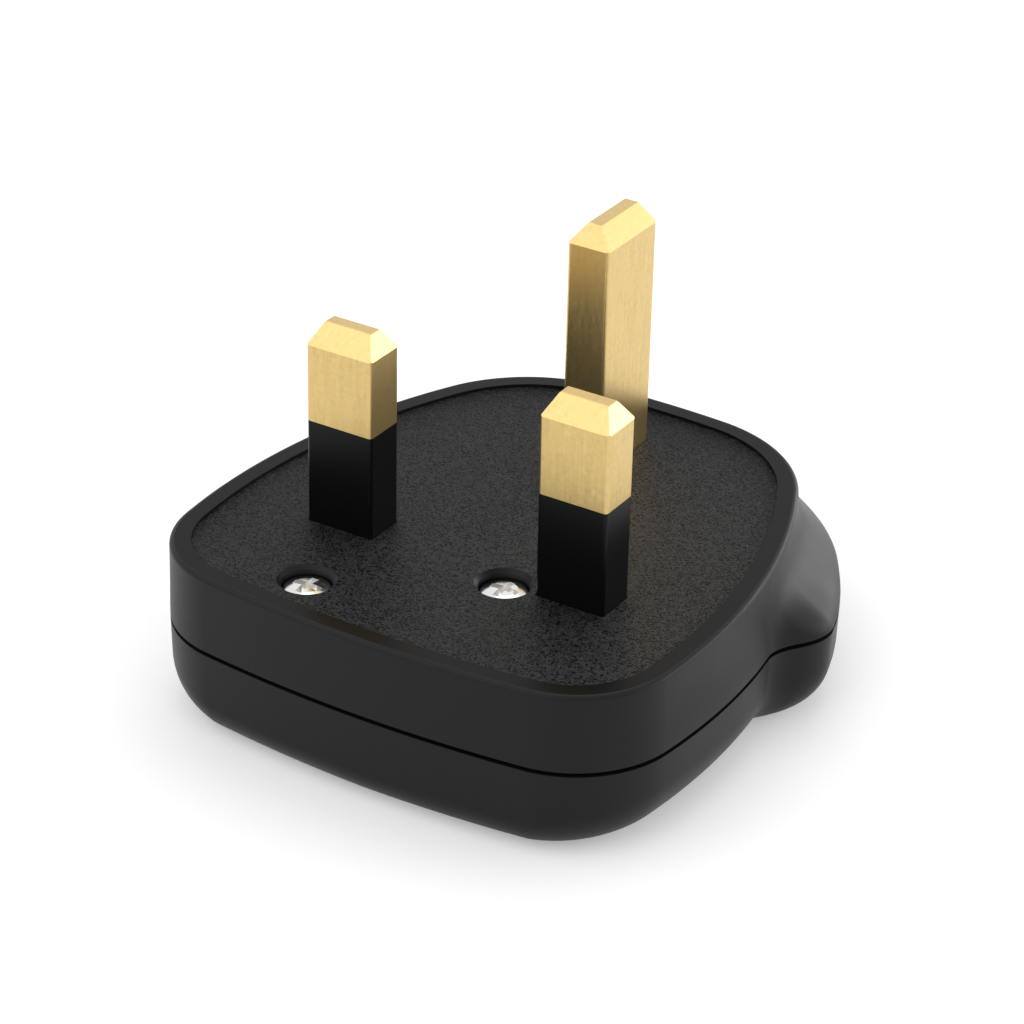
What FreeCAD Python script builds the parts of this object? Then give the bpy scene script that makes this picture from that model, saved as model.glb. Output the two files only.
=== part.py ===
import FreeCAD, Part
import math
import os

# A UK three pin plug that lies on its cover with the pins up. Lengths are in millimetres.
# The origin lies on the cover's outer face, below the middle of the line through the live
# and neutral pins. +X runs from live to neutral, +Y towards the earth pin, +Z along the pins.

# Pins
PIN_PITCH = 22.23
EARTH_OFFSET = 22.23
BLADE_WIDTH = 6.35
BLADE_THICKNESS = 3.97
BLADE_LENGTH = 17.7
EARTH_WIDTH = 7.92
EARTH_LENGTH = 22.3
SLEEVE_LENGTH = 9.0
SLEEVE_WALL = 0.45
TIP_HEIGHT = 1.85
TIP_INSET_WIDE = 1.39
TIP_INSET_NARROW = 0.98
PIN_EDGE_RADIUS = 0.3
TIP_EDGE_RADIUS = 0.14
PIN_SLOT_CLEARANCE = 0.05

# Body outline at the rim: five tangent arcs on each side of the middle plane
FRONT_Y = -16.2
END_Y = 32.9
HALF_WIDTH = 23.5
WIDEST_Y = -0.9
FRONT_RADIUS = 120.0
SIDE_RADIUS = 59.0
END_RADIUS = 84.0
CORNER_RADIUS = 9.2
SHOULDER_RADIUS = 13.8
ARC_STEPS = (3, 5, 0, 6, 3)
SIDE_STATIONS_Y = (-4.0, 4.0, 8.8, 10.4, 11.9, 13.4, 14.9, 16.6)

# Body depth, and how the walls swell into the grip round the earth end. The sections of the
# base's wall are shares of its height from the rim down; those of the round edges are angles.
BASE_DEPTH = 7.1
COVER_DEPTH = 8.0
WAIST_SWELL = 0.8
WAIST_FROM_Y = -18.5
WAIST_TO_Y = 15.5
GRIP_SWELL = 3.8
GRIP_FROM_Y = 9.7
GRIP_CREASE_Y = 12.4
GRIP_TO_Y = 15.7
GRIP_FADE = 0.35
FADE_FROM_Y = 19.0
FADE_TO_Y = 24.3
GRIP_POWER = 3.0
WALL_SECTIONS = (0.0, 0.45, 0.64, 0.78, 0.9, 1.0)
RIM_ANGLES = (90, 45)
FOOT_ANGLES = (0, 22, 45, 67, 90)
COVER_DRAFT = 0.2
FOOT_RADIUS_FRONT = 3.2
FOOT_RADIUS_SIDE = 6.0

# Walls and the joint between base and cover
WALL = 2.0
PLATE = 2.5
PARTING_GAP = 0.32
CAVITY_BEND = 0.78
COVER_CAVITY_Z = (2.0, 3.6)
TONGUE_WALL = 0.95
TONGUE_HEIGHT = 1.2
TONGUE_CLEARANCE = 0.05
RIM_WIDTH = 1.8
RIM_EDGE_RADIUS = 0.42
PANEL_SINK = 0.3
RIB = 1.0
BASE_RIB_HEIGHT = 1.4
COVER_RIB_HEIGHT = 1.0
SIDE_RIB_X = 17.5
CROSS_RIB_Y = 7.5
COVER_RIB_X = 17.0
COVER_RIB_YS = (-7.0, 7.5, 20.0)

# Cover screws, their posts and their threaded inserts
COVER_SCREWS = {"left": (-8.6, -10.2), "right": (4.9, -1.8)}
POST_RADIUS = 2.7
SCREW_RADIUS = 1.25
SCREW_LENGTH = 8.8
SCREW_HEAD_RADIUS = 1.92
SCREW_HEAD_RIM = 1.0
SCREW_HEAD_DOME = 0.4
DOME_RINGS = (1.0, 0.6)
SCREW_HEAD_SINK = 0.8
SCREW_HOLE_CLEARANCE = 0.12
COUNTERBORE_RADIUS = 2.13
COUNTERBORE_CHAMFER = 0.33
CROSS_ARM = 1.25
CROSS_WIDTH = 0.62
CROSS_DEPTH = 0.7
INSERT_RADIUS = 1.8
INSERT_HEIGHT = 4.5
THREAD_CLEARANCE = 0.02

# Terminal blocks and their screws
TERMINAL_DEPTH = 7.0
NEUTRAL_BLOCK_X = (7.8, 14.4)
NEUTRAL_BLOCK_Y = 3.5
EARTH_BLOCK_X = 3.5
EARTH_BLOCK_Y = 4.05
WIRE_HOLE_RADIUS = 1.5
WIRE_HOLE_DEPTH = 3.4
TERMINAL_SCREW_RADIUS = 1.5
TERMINAL_HEAD_RADIUS = 2.5
TERMINAL_HEAD_HEIGHT = 1.6
TERMINAL_SLOT = 0.7
POCKET_WALL = 1.0
POCKET_HEIGHT = 1.6
POCKET_CLEARANCE = 0.15

# Fuse, its clips and the live terminal
FUSE_LENGTH = 25.4
FUSE_RADIUS = 3.175
FUSE_BODY_RADIUS = 2.9
FUSE_CAP_LENGTH = 6.3
FUSE_CAP_WALL = 0.35
FUSE_FRONT_Y = -3.2
CLIP_SHEET = 0.5
CLIP_LENGTH = 6.0
CLIP_MARGIN = 0.3
CLIP_OPENING = 42.0
CLIP_FIT = 0.02
CLIP_TAB = 3.6
FLANGE = 1.8
FLANGE_HALF_WIDTH = 3.6
FLANGE_BACK_Y = 3.0
RIVET_RADIUS = 0.9
RIVET_HEAD_RADIUS = 1.6
RIVET_HEAD_HEIGHT = 0.6
RIVET_GRIP = 1.2
LIVE_BLOCK_X = (-7.2, -1.8)
LIVE_BLOCK_Y = (9.5, 15.3)
LIVE_BLOCK_DEPTH = 5.5
LINK_WIDTH = 1.7
CRADLE_WIDTH = 3.2
CRADLE_YS = (6.0, 12.8)

# Cord inlet at the earth end, and the cord grip inside it
INLET_RADIUS = 3.6
COLLAR_WALL = 1.6
COLLAR_FROM_Y = 31.3
COLLAR_TO_Y = 35.4
INLET_MOUTH = 0.5
GRIP_BAR_Y = (27.0, 30.3)
GRIP_BAR_RADIUS = 3.2
GRIP_BAR_WALL = 1.8
GRIP_BAR_EAR = 2.0
GRIP_SCREW_X = 7.6
GRIP_POST_RADIUS = 2.4
GRIP_SCREW_RADIUS = 1.3
GRIP_SCREW_LENGTH = 6.0
GRIP_HEAD_RADIUS = 2.3
GRIP_HEAD_HEIGHT = 1.5
GRIP_SCREW_CLEARANCE = 0.05

# Levels
COVER_FLOOR = COVER_CAVITY_Z[0]
PARTING_Z = COVER_DEPTH
FACE_Z = COVER_DEPTH + BASE_DEPTH
PANEL_Z = FACE_Z - PANEL_SINK
PLATE_Z = FACE_Z - PLATE
RIM_LOW_Z = FACE_Z - RIM_EDGE_RADIUS
BASE_LOW_Z = PARTING_Z + PARTING_GAP / 2
COVER_TOP_Z = PARTING_Z - PARTING_GAP / 2
SLEEVE_TOP_Z = FACE_Z + SLEEVE_LENGTH
TONGUE_TOP_Z = PARTING_Z + TONGUE_HEIGHT
TERMINAL_Z = PLATE_Z - TERMINAL_DEPTH
WIRE_HOLE_Z = PLATE_Z - WIRE_HOLE_DEPTH
FLANGE_Z = PLATE_Z - FLANGE
CLIP_Z = FLANGE_Z - CLIP_SHEET
FUSE_Z = CLIP_Z - FUSE_RADIUS - CLIP_FIT
LIVE_BLOCK_Z = CLIP_Z - LIVE_BLOCK_DEPTH
LIVE_WIRE_X = sum(LIVE_BLOCK_X) / 2
LIVE_WIRE_Y = sum(LIVE_BLOCK_Y) / 2
LIVE_WIRE_Z = CLIP_Z - WIRE_HOLE_RADIUS - CLIP_SHEET
NEUTRAL_WIRE_X = sum(NEUTRAL_BLOCK_X) / 2
SCREW_SEAT_Z = PANEL_Z - SCREW_HEAD_SINK - SCREW_HEAD_RIM
LIVE_X = -PIN_PITCH / 2
NEUTRAL_X = PIN_PITCH / 2
FUSE_BACK_Y = FUSE_FRONT_Y + FUSE_LENGTH
GRIP_SCREW_Y = sum(GRIP_BAR_Y) / 2

UP = FreeCAD.Vector(0, 0, 1)
ALONG_Y = FreeCAD.Vector(0, 1, 0)
OVERCUT = 1.0


def vec(x, y, z=0.0):
    return FreeCAD.Vector(x, y, z)


def box(x_range, y_range, z_range):
    """A block between two corners."""
    size = [high - low for low, high in (x_range, y_range, z_range)]
    return Part.makeBox(*size, vec(x_range[0], y_range[0], z_range[0]))


def around(middle, half):
    """The range that reaches half each way from the middle."""
    return (middle - half, middle + half)


def rod(radius, z_range, x=0.0, y=0.0):
    return Part.makeCylinder(radius, z_range[1] - z_range[0], vec(x, y, z_range[0]), UP)


def rod_along_y(radius, y_range, x, z):
    return Part.makeCylinder(radius, y_range[1] - y_range[0], vec(x, y_range[0], z), ALONG_Y)


def turned(profile, x, y):
    """A solid of revolution about a vertical axis, from (radius, z) corners."""
    points = [vec(radius, 0, z) for radius, z in profile]
    face = Part.Face(Part.makePolygon(points + points[:1]))
    solid = face.revolve(vec(0, 0, 0), UP, 360)
    solid.translate(vec(x, y, 0))
    return solid


def circles_meet(centre_a, radius_a, centre_b, radius_b, upper):
    """The point on both circles with the higher or the lower y."""
    line = centre_b - centre_a
    gap = line.Length
    reach = (radius_a ** 2 - radius_b ** 2 + gap ** 2) / (2 * gap)
    rise = math.sqrt(radius_a ** 2 - reach ** 2)
    middle = centre_a + line * (reach / gap)
    side = vec(-line.y, line.x) * (rise / gap)
    meets = sorted((middle + side, middle - side), key=lambda point: point.y)
    return meets[1] if upper else meets[0]


def outline_arcs():
    """The right half of the rim's outline, as arcs of (centre, radius, start, end)."""
    front = vec(0, FRONT_Y + FRONT_RADIUS)
    side = vec(HALF_WIDTH - SIDE_RADIUS, WIDEST_Y)
    end = vec(0, END_Y - END_RADIUS)
    corner = circles_meet(front, FRONT_RADIUS - CORNER_RADIUS, side, SIDE_RADIUS - CORNER_RADIUS, False)
    shoulder = circles_meet(side, SIDE_RADIUS - SHOULDER_RADIUS, end, END_RADIUS - SHOULDER_RADIUS, True)

    def heading(start, target):
        return math.atan2(target.y - start.y, target.x - start.x)

    turns = [-math.pi / 2, heading(front, corner), heading(side, corner), heading(side, shoulder),
             heading(end, shoulder), math.pi / 2]
    circles = [(front, FRONT_RADIUS), (corner, CORNER_RADIUS), (side, SIDE_RADIUS),
               (shoulder, SHOULDER_RADIUS), (end, END_RADIUS)]
    return [(*circle, turns[i], turns[i + 1]) for i, circle in enumerate(circles)]


def outline_stations():
    """Points of the whole rim outline with their outward normals, closer where it bends."""
    half = []
    for (centre, radius, start, end), steps in zip(outline_arcs(), ARC_STEPS):
        if steps:
            turns = [start + (end - start) * step / steps for step in range(steps)]
        else:
            turns = [start] + [math.asin((y - centre.y) / radius) for y in SIDE_STATIONS_Y]
        for turn in turns:
            normal = vec(math.cos(turn), math.sin(turn))
            half.append((centre + normal * radius, normal))
    half.append((vec(0, END_Y), ALONG_Y))
    mirrored = [(vec(-point.x, point.y), vec(-normal.x, normal.y)) for point, normal in half[-2:0:-1]]
    return half + mirrored


def ramp(value, low, high):
    """A smooth step from 0 to 1 between low and high."""
    share = min(max((value - low) / (high - low), 0.0), 1.0)
    return share * share * (3 - 2 * share)


def grip_share(y):
    """A rise from 0 to 1: a short hollow crease, then a long round crest."""
    length = GRIP_TO_Y - GRIP_FROM_Y
    run = min(max(y - GRIP_FROM_Y, 0.0), length)
    crease = GRIP_CREASE_Y - GRIP_FROM_Y
    if run < crease:
        return run ** 2 / (crease * length)
    return 1 - (length - run) ** 2 / ((length - crease) * length)


def grip_swell(y):
    """How far the walls stand out from the rim at the parting plane."""
    waist = WAIST_SWELL * ramp(y, WAIST_FROM_Y, WAIST_TO_Y)
    fade = 1 - GRIP_FADE * ramp(y, FADE_FROM_Y, FADE_TO_Y)
    return waist + GRIP_SWELL * grip_share(y) * fade


def foot_radius(normal):
    """The cover's lower edge is rounder at the sides than at the front and the end."""
    return FOOT_RADIUS_FRONT + (FOOT_RADIUS_SIDE - FOOT_RADIUS_FRONT) * abs(normal.x)


def wall_offset(point, normal, z):
    """How far the outer wall lies outside the rim outline at the height z."""
    swell = grip_swell(point.y)
    if z >= PARTING_Z:
        drop = (RIM_LOW_Z - z) / (RIM_LOW_Z - BASE_LOW_Z)
        return swell * ramp(drop ** GRIP_POWER, 0, 1) if drop > 0 else 0
    offset = swell - COVER_DRAFT * (PARTING_Z - z) / COVER_DEPTH
    radius = foot_radius(normal)
    if z < radius:
        offset -= radius - math.sqrt(radius ** 2 - (radius - z) ** 2)
    return offset


def closed_row(place):
    """A closed smooth line through one point per station; place gives its offset and height."""
    stations = outline_stations()
    points = []
    runs = [0.0]
    for i, (point, normal) in enumerate(stations):
        offset, z = place(point, normal)
        points.append(vec(point.x + normal.x * offset, point.y + normal.y * offset, z))
        runs.append(runs[-1] + (stations[(i + 1) % len(stations)][0] - point).Length)
    curve = Part.BSplineCurve()
    curve.interpolate(Points=points, PeriodicFlag=True, Parameters=runs)
    return Part.Wire([curve.toShape()])


def section(z, inset=0.0):
    """The body's outline at the height z, moved in from the outer wall by the inset."""
    return closed_row(lambda point, normal: (wall_offset(point, normal, z) - inset, z))


def hollow(heights, inset):
    """A solid that follows the inside of the wall between the heights."""
    return Part.makeLoft([section(z, inset) for z in heights], True, True)


def rim_row(angle):
    """A line round the rim's rounded edge: 0 is where the wall starts, 90 is the flat rim."""
    turn = math.radians(angle)
    inset = RIM_EDGE_RADIUS * (1 - math.cos(turn))
    return closed_row(lambda point, normal: (-inset, RIM_LOW_Z + RIM_EDGE_RADIUS * math.sin(turn)))


def base_skin():
    """The outer form of the base: a rounded rim, then the wall that swells into the grip."""
    heights = [RIM_LOW_Z - share * (RIM_LOW_Z - BASE_LOW_Z) for share in WALL_SECTIONS]
    rows = [rim_row(angle) for angle in RIM_ANGLES] + [section(z) for z in heights]
    return Part.makeLoft(rows, True, True)


def panel_outline(inset, z):
    """The rim outline moved in by the inset, as true arcs."""
    edges = []
    for side in (1, -1):
        for centre, radius, start, end in outline_arcs():
            spots = [start, (start + end) / 2, end]
            reach = radius - inset
            points = [vec(side * (centre.x + reach * math.cos(turn)), centre.y + reach * math.sin(turn), z)
                      for turn in spots]
            edges.append(Part.Arc(*points).toShape())
    return Part.Wire(Part.__sortEdges__(edges))


def rounded_bar(x_range, y_range, z_range, radius):
    """A block with its four upright edges rounded."""
    bar = box(x_range, y_range, z_range)
    upright = [edge for edge in bar.Edges if edge.BoundBox.ZLength > z_range[1] - z_range[0] - 1e-6]
    return bar.makeFillet(radius, upright)


def rectangle(half_x, half_y, z, x, y):
    corners = [(-half_x, -half_y), (half_x, -half_y), (half_x, half_y), (-half_x, half_y)]
    points = [vec(x + dx, y + dy, z) for dx, dy in corners]
    return Part.makePolygon(points + points[:1])


def pin_blade(x, y, half_x, half_y, inset_x, inset_y, z_low, z_high):
    """A bar with a four-sided tapered tip and softened edges."""
    shoulder = z_high - TIP_HEIGHT
    shank = box(around(x, half_x), around(y, half_y), (z_low, shoulder))
    tip = Part.makeLoft([rectangle(half_x, half_y, shoulder, x, y),
                         rectangle(half_x - inset_x, half_y - inset_y, z_high, x, y)], True, True)
    blade = shank.fuse(tip).removeSplitter()
    upright = [edge for edge in blade.Edges if edge.BoundBox.ZLength > shoulder - z_low - 1e-6
               and edge.BoundBox.ZLength > 2 * TIP_HEIGHT]
    blade = blade.makeFillet(PIN_EDGE_RADIUS, upright)
    top = [edge for edge in blade.Edges if edge.BoundBox.ZMin > z_high - 1e-4]
    return blade.makeFillet(TIP_EDGE_RADIUS, top)


def line_blade(x):
    """The sleeved blade of the live or neutral pin, thinner inside its sleeve."""
    blade = pin_blade(x, 0, BLADE_WIDTH / 2, BLADE_THICKNESS / 2, TIP_INSET_NARROW, TIP_INSET_WIDE,
                      SLEEVE_TOP_Z, FACE_Z + BLADE_LENGTH)
    neck = box(around(x, BLADE_WIDTH / 2 - SLEEVE_WALL), around(0, BLADE_THICKNESS / 2 - SLEEVE_WALL),
               (PLATE_Z, SLEEVE_TOP_Z))
    return blade.fuse(neck)


def pin_sleeve(x):
    """The insulating sleeve, flush with the brass above it."""
    z_range = (PLATE_Z, SLEEVE_TOP_Z)
    outer = rounded_bar(around(x, BLADE_WIDTH / 2), around(0, BLADE_THICKNESS / 2), z_range, PIN_EDGE_RADIUS)
    inner = box(around(x, BLADE_WIDTH / 2 - SLEEVE_WALL), around(0, BLADE_THICKNESS / 2 - SLEEVE_WALL), z_range)
    return outer.cut(inner)


def screw_way(x, y, z):
    """The tapped hole that a terminal screw enters from the cover side, down to the wire."""
    return rod(TERMINAL_SCREW_RADIUS + THREAD_CLEARANCE, (z - OVERCUT, WIRE_HOLE_Z), x, y)


def neutral_pin():
    block = box(NEUTRAL_BLOCK_X, around(0, NEUTRAL_BLOCK_Y), (TERMINAL_Z, PLATE_Z))
    wire_hole = rod_along_y(WIRE_HOLE_RADIUS, around(0, NEUTRAL_BLOCK_Y + OVERCUT), NEUTRAL_WIRE_X, WIRE_HOLE_Z)
    block = block.cut(wire_hole).cut(screw_way(NEUTRAL_WIRE_X, 0, TERMINAL_Z))
    return line_blade(NEUTRAL_X).fuse(block).removeSplitter()


def live_pin():
    """The live pin ends in a flange that the fuse clip is riveted to."""
    flange = box(around(LIVE_X, FLANGE_HALF_WIDTH), (FUSE_FRONT_Y - CLIP_TAB, FLANGE_BACK_Y),
                 (FLANGE_Z, PLATE_Z))
    hole = rod(RIVET_RADIUS, (FLANGE_Z - OVERCUT, FLANGE_Z + RIVET_GRIP), LIVE_X, rivet_y())
    return line_blade(LIVE_X).fuse(flange.cut(hole)).removeSplitter()


def earth_pin():
    blade = pin_blade(0, EARTH_OFFSET, BLADE_THICKNESS / 2, EARTH_WIDTH / 2, TIP_INSET_WIDE,
                      TIP_INSET_NARROW, PLATE_Z, FACE_Z + EARTH_LENGTH)
    block = box(around(0, EARTH_BLOCK_X), around(EARTH_OFFSET, EARTH_BLOCK_Y), (TERMINAL_Z, PLATE_Z))
    wire_hole = Part.makeCylinder(WIRE_HOLE_RADIUS, 2 * (EARTH_BLOCK_X + OVERCUT),
                                  vec(-EARTH_BLOCK_X - OVERCUT, EARTH_OFFSET, WIRE_HOLE_Z), vec(1, 0, 0))
    block = block.cut(wire_hole).cut(screw_way(0, EARTH_OFFSET, TERMINAL_Z))
    return blade.fuse(block).removeSplitter()


def slotted_screw(x, y, seat, head, shank):
    """A cheese head below the seat with a slot across it; head and shank are (radius, height)."""
    low = seat - head[1]
    slot = box(around(x, head[0] + OVERCUT), around(y, TERMINAL_SLOT / 2), (low - OVERCUT, low + head[1] / 2))
    return rod(head[0], (low, seat), x, y).fuse(rod(shank[0], (seat, seat + shank[1]), x, y)).cut(slot)


def terminal_screw(x, y, seat, wire_z):
    """The screw that presses the wire, from below the terminal up to the wire."""
    shank = (TERMINAL_SCREW_RADIUS, wire_z - WIRE_HOLE_RADIUS / 2 - seat)
    return slotted_screw(x, y, seat, (TERMINAL_HEAD_RADIUS, TERMINAL_HEAD_HEIGHT), shank)


def rivet_y():
    return FUSE_FRONT_Y - CLIP_TAB / 2


def clip_ring(y_low):
    """A spring clip round a fuse cap, open towards the cover so that the fuse pushes in."""
    y_range = (y_low, y_low + CLIP_LENGTH)
    inner = FUSE_RADIUS + CLIP_FIT
    band = rod_along_y(inner + CLIP_SHEET, y_range, LIVE_X, FUSE_Z)
    band = band.cut(rod_along_y(inner, around(y_low + CLIP_LENGTH / 2, CLIP_LENGTH), LIVE_X, FUSE_Z))
    reach = 2 * FUSE_RADIUS
    spread = reach * math.tan(math.radians(CLIP_OPENING))
    wedge = [vec(LIVE_X, y_low - OVERCUT, FUSE_Z), vec(LIVE_X - spread, y_low - OVERCUT, FUSE_Z - reach),
             vec(LIVE_X + spread, y_low - OVERCUT, FUSE_Z - reach)]
    mouth = Part.Face(Part.makePolygon(wedge + wedge[:1])).extrude(ALONG_Y * (CLIP_LENGTH + 2 * OVERCUT))
    return band.cut(mouth)


def fuse_clip_pin():
    """The front clip with the tab that is riveted to the live pin's flange."""
    ring_y = FUSE_FRONT_Y + CLIP_MARGIN
    tab = box(around(LIVE_X, RIVET_HEAD_RADIUS + CLIP_SHEET), (FUSE_FRONT_Y - CLIP_TAB, ring_y + CLIP_SHEET),
              (CLIP_Z, FLANGE_Z))
    hole = rod(RIVET_RADIUS, (CLIP_Z - OVERCUT, FLANGE_Z + OVERCUT), LIVE_X, rivet_y())
    fuse_space = rod_along_y(FUSE_RADIUS + CLIP_FIT, (ring_y, FUSE_BACK_Y), LIVE_X, FUSE_Z)
    return clip_ring(ring_y).fuse(tab.cut(fuse_space)).cut(hole).removeSplitter()


def back_clip_y():
    return FUSE_BACK_Y - CLIP_MARGIN - CLIP_LENGTH


def fuse_clip_terminal():
    """The back clip with the strip that leads to the live terminal."""
    low_y = back_clip_y()
    level = (CLIP_Z, FLANGE_Z)
    bridge = box((LIVE_X, LIVE_BLOCK_X[1]), (low_y, low_y + LINK_WIDTH), level)
    strip = box(LIVE_BLOCK_X, (LIVE_BLOCK_Y[0], low_y + LINK_WIDTH), level)
    return clip_ring(low_y).fuse(bridge).fuse(strip).removeSplitter()


def clip_rivet():
    profile = [(0, CLIP_Z - RIVET_HEAD_HEIGHT), (RIVET_HEAD_RADIUS * 0.7, CLIP_Z - RIVET_HEAD_HEIGHT),
               (RIVET_HEAD_RADIUS, CLIP_Z), (RIVET_RADIUS, CLIP_Z), (RIVET_RADIUS, FLANGE_Z + RIVET_GRIP),
               (0, FLANGE_Z + RIVET_GRIP)]
    return turned(profile, LIVE_X, rivet_y())


def live_terminal():
    """The brass block under the strip, with a wire hole and its screw's tapped hole."""
    block = box(LIVE_BLOCK_X, LIVE_BLOCK_Y, (LIVE_BLOCK_Z, CLIP_Z))
    wire_hole = rod_along_y(WIRE_HOLE_RADIUS, around(LIVE_WIRE_Y, LIVE_BLOCK_DEPTH), LIVE_WIRE_X, LIVE_WIRE_Z)
    way = rod(TERMINAL_SCREW_RADIUS + THREAD_CLEARANCE, (LIVE_BLOCK_Z - OVERCUT, LIVE_WIRE_Z), LIVE_WIRE_X,
              LIVE_WIRE_Y)
    return block.cut(wire_hole).cut(way)


def fuse_body():
    ends = (FUSE_FRONT_Y + FUSE_CAP_WALL, FUSE_BACK_Y - FUSE_CAP_WALL)
    return rod_along_y(FUSE_BODY_RADIUS, ends, LIVE_X, FUSE_Z)


def fuse_cap(front):
    """A drawn cup over the end of the fuse, with an eased outer edge."""
    end = FUSE_FRONT_Y if front else FUSE_BACK_Y
    inward = 1 if front else -1
    ease = FUSE_CAP_WALL / 2
    edge = Part.makeCone(FUSE_RADIUS - ease, FUSE_RADIUS, ease, vec(LIVE_X, end, FUSE_Z), ALONG_Y * inward)
    sleeve_y = sorted((end + inward * ease, end + inward * FUSE_CAP_LENGTH))
    return edge.fuse(rod_along_y(FUSE_RADIUS, sleeve_y, LIVE_X, FUSE_Z)).cut(fuse_body())


def cover_screw(x, y):
    """A domed head with a cross recess, and a shank that reaches into the insert."""
    rim_z = SCREW_SEAT_Z + SCREW_HEAD_RIM
    top_z = rim_z + SCREW_HEAD_DOME
    dome = [(SCREW_HEAD_RADIUS * reach, top_z - SCREW_HEAD_DOME * reach ** 2) for reach in DOME_RINGS]
    head = turned([(0, SCREW_SEAT_Z), (SCREW_HEAD_RADIUS, SCREW_SEAT_Z)] + dome + [(0, top_z)], x, y)
    arms = [box(around(x, arm_x), around(y, arm_y), (top_z - CROSS_DEPTH, PANEL_Z))
            for arm_x, arm_y in ((CROSS_ARM, CROSS_WIDTH / 2), (CROSS_WIDTH / 2, CROSS_ARM))]
    shank = rod(SCREW_RADIUS, (SCREW_SEAT_Z - SCREW_LENGTH, SCREW_SEAT_Z), x, y)
    return head.cut(arms[0].fuse(arms[1])).fuse(shank)


def cover_insert(x, y):
    """A threaded brass insert that is pressed into the cover's post."""
    level = (PARTING_Z - INSERT_HEIGHT, PARTING_Z)
    return rod(INSERT_RADIUS, level, x, y).cut(rod(SCREW_RADIUS + THREAD_CLEARANCE, level, x, y))


def grip_half_ring(outer, y_range):
    """The half cylinder of the cord grip below the parting plane."""
    round_bar = rod_along_y(outer, y_range, 0, PARTING_Z)
    return round_bar.common(box(around(0, outer + OVERCUT), y_range, (PARTING_Z - outer - OVERCUT, PARTING_Z)))


def cord_grip():
    """A saddle that clamps the cord against the base, with a screw ear on each side."""
    outer = GRIP_BAR_RADIUS + GRIP_BAR_WALL
    ears = box(around(0, GRIP_SCREW_X + GRIP_POST_RADIUS), GRIP_BAR_Y, (PARTING_Z - GRIP_BAR_EAR, PARTING_Z))
    body = ears.fuse(grip_half_ring(outer, GRIP_BAR_Y))
    body = body.cut(rod_along_y(GRIP_BAR_RADIUS, GRIP_BAR_Y, 0, PARTING_Z))
    for side in (-1, 1):
        hole = GRIP_SCREW_RADIUS + GRIP_SCREW_CLEARANCE
        body = body.cut(rod(hole, (0, FACE_Z), side * GRIP_SCREW_X, GRIP_SCREW_Y))
    return body.removeSplitter()


def cord_grip_screw(side):
    head = (GRIP_HEAD_RADIUS, GRIP_HEAD_HEIGHT)
    shank = (GRIP_SCREW_RADIUS, GRIP_SCREW_LENGTH)
    return slotted_screw(side * GRIP_SCREW_X, GRIP_SCREW_Y, PARTING_Z - GRIP_BAR_EAR, head, shank)


def inlet_way():
    """The round way in for the cord, with an eased mouth."""
    bore = rod_along_y(INLET_RADIUS, (COLLAR_FROM_Y - OVERCUT, COLLAR_TO_Y + OVERCUT), 0, PARTING_Z)
    mouth = Part.makeCone(INLET_RADIUS, INLET_RADIUS + INLET_MOUTH + OVERCUT, INLET_MOUTH + OVERCUT,
                          vec(0, COLLAR_TO_Y - INLET_MOUTH, PARTING_Z), ALONG_Y)
    return bore.fuse(mouth)


def collar():
    """The collar round the inlet, before it is shared between base and cover."""
    return rod_along_y(INLET_RADIUS + COLLAR_WALL, (COLLAR_FROM_Y, COLLAR_TO_Y), 0, PARTING_Z)


def pocket(x_range, y_range, level):
    """A low wall round a terminal block that keeps it from turning."""
    gap = POCKET_CLEARANCE
    thick = POCKET_CLEARANCE + POCKET_WALL
    outer = box((x_range[0] - thick, x_range[1] + thick), (y_range[0] - thick, y_range[1] + thick), level)
    inner = box((x_range[0] - gap, x_range[1] + gap), (y_range[0] - gap, y_range[1] + gap), level)
    return outer.cut(inner)


def base_ribs():
    """Low ribs on the inner side of the pin face, rooted in the plate and the walls."""
    level = (PLATE_Z - BASE_RIB_HEIGHT, FACE_Z - PLATE / 2)
    ribs = [box(around(side * SIDE_RIB_X, RIB / 2), (FRONT_Y, END_Y), level) for side in (-1, 1)]
    ribs.append(box(around(0, 2 * HALF_WIDTH), around(CROSS_RIB_Y, RIB / 2), level))
    return ribs[0].multiFuse(ribs[1:]).common(hollow(level, WALL / 2))


def base_stands():
    """The pockets and pads that hold the metal parts, and the posts for the screws."""
    low = PLATE_Z - POCKET_HEIGHT
    rooted = FACE_Z - PLATE / 2
    flange_y = (FUSE_FRONT_Y - CLIP_TAB, FLANGE_BACK_Y)
    earth_y = around(EARTH_OFFSET, EARTH_BLOCK_Y)
    stands = [pocket(NEUTRAL_BLOCK_X, around(0, NEUTRAL_BLOCK_Y), (low, rooted)),
              pocket(around(LIVE_X, FLANGE_HALF_WIDTH), flange_y, (low, rooted)),
              pocket(around(0, EARTH_BLOCK_X), earth_y, (low, rooted))]
    pad_level = (FLANGE_Z, rooted)
    stands.append(box(LIVE_BLOCK_X, LIVE_BLOCK_Y, pad_level))
    stands.append(box(around(LIVE_X, FUSE_RADIUS / 2), (back_clip_y(), FUSE_BACK_Y - CLIP_MARGIN), pad_level))
    stands += [rod(POST_RADIUS, (PARTING_Z, rooted), x, y) for x, y in COVER_SCREWS.values()]
    stands += [rod(GRIP_POST_RADIUS, (PARTING_Z, rooted), side * GRIP_SCREW_X, GRIP_SCREW_Y) for side in (-1, 1)]
    return stands


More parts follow.
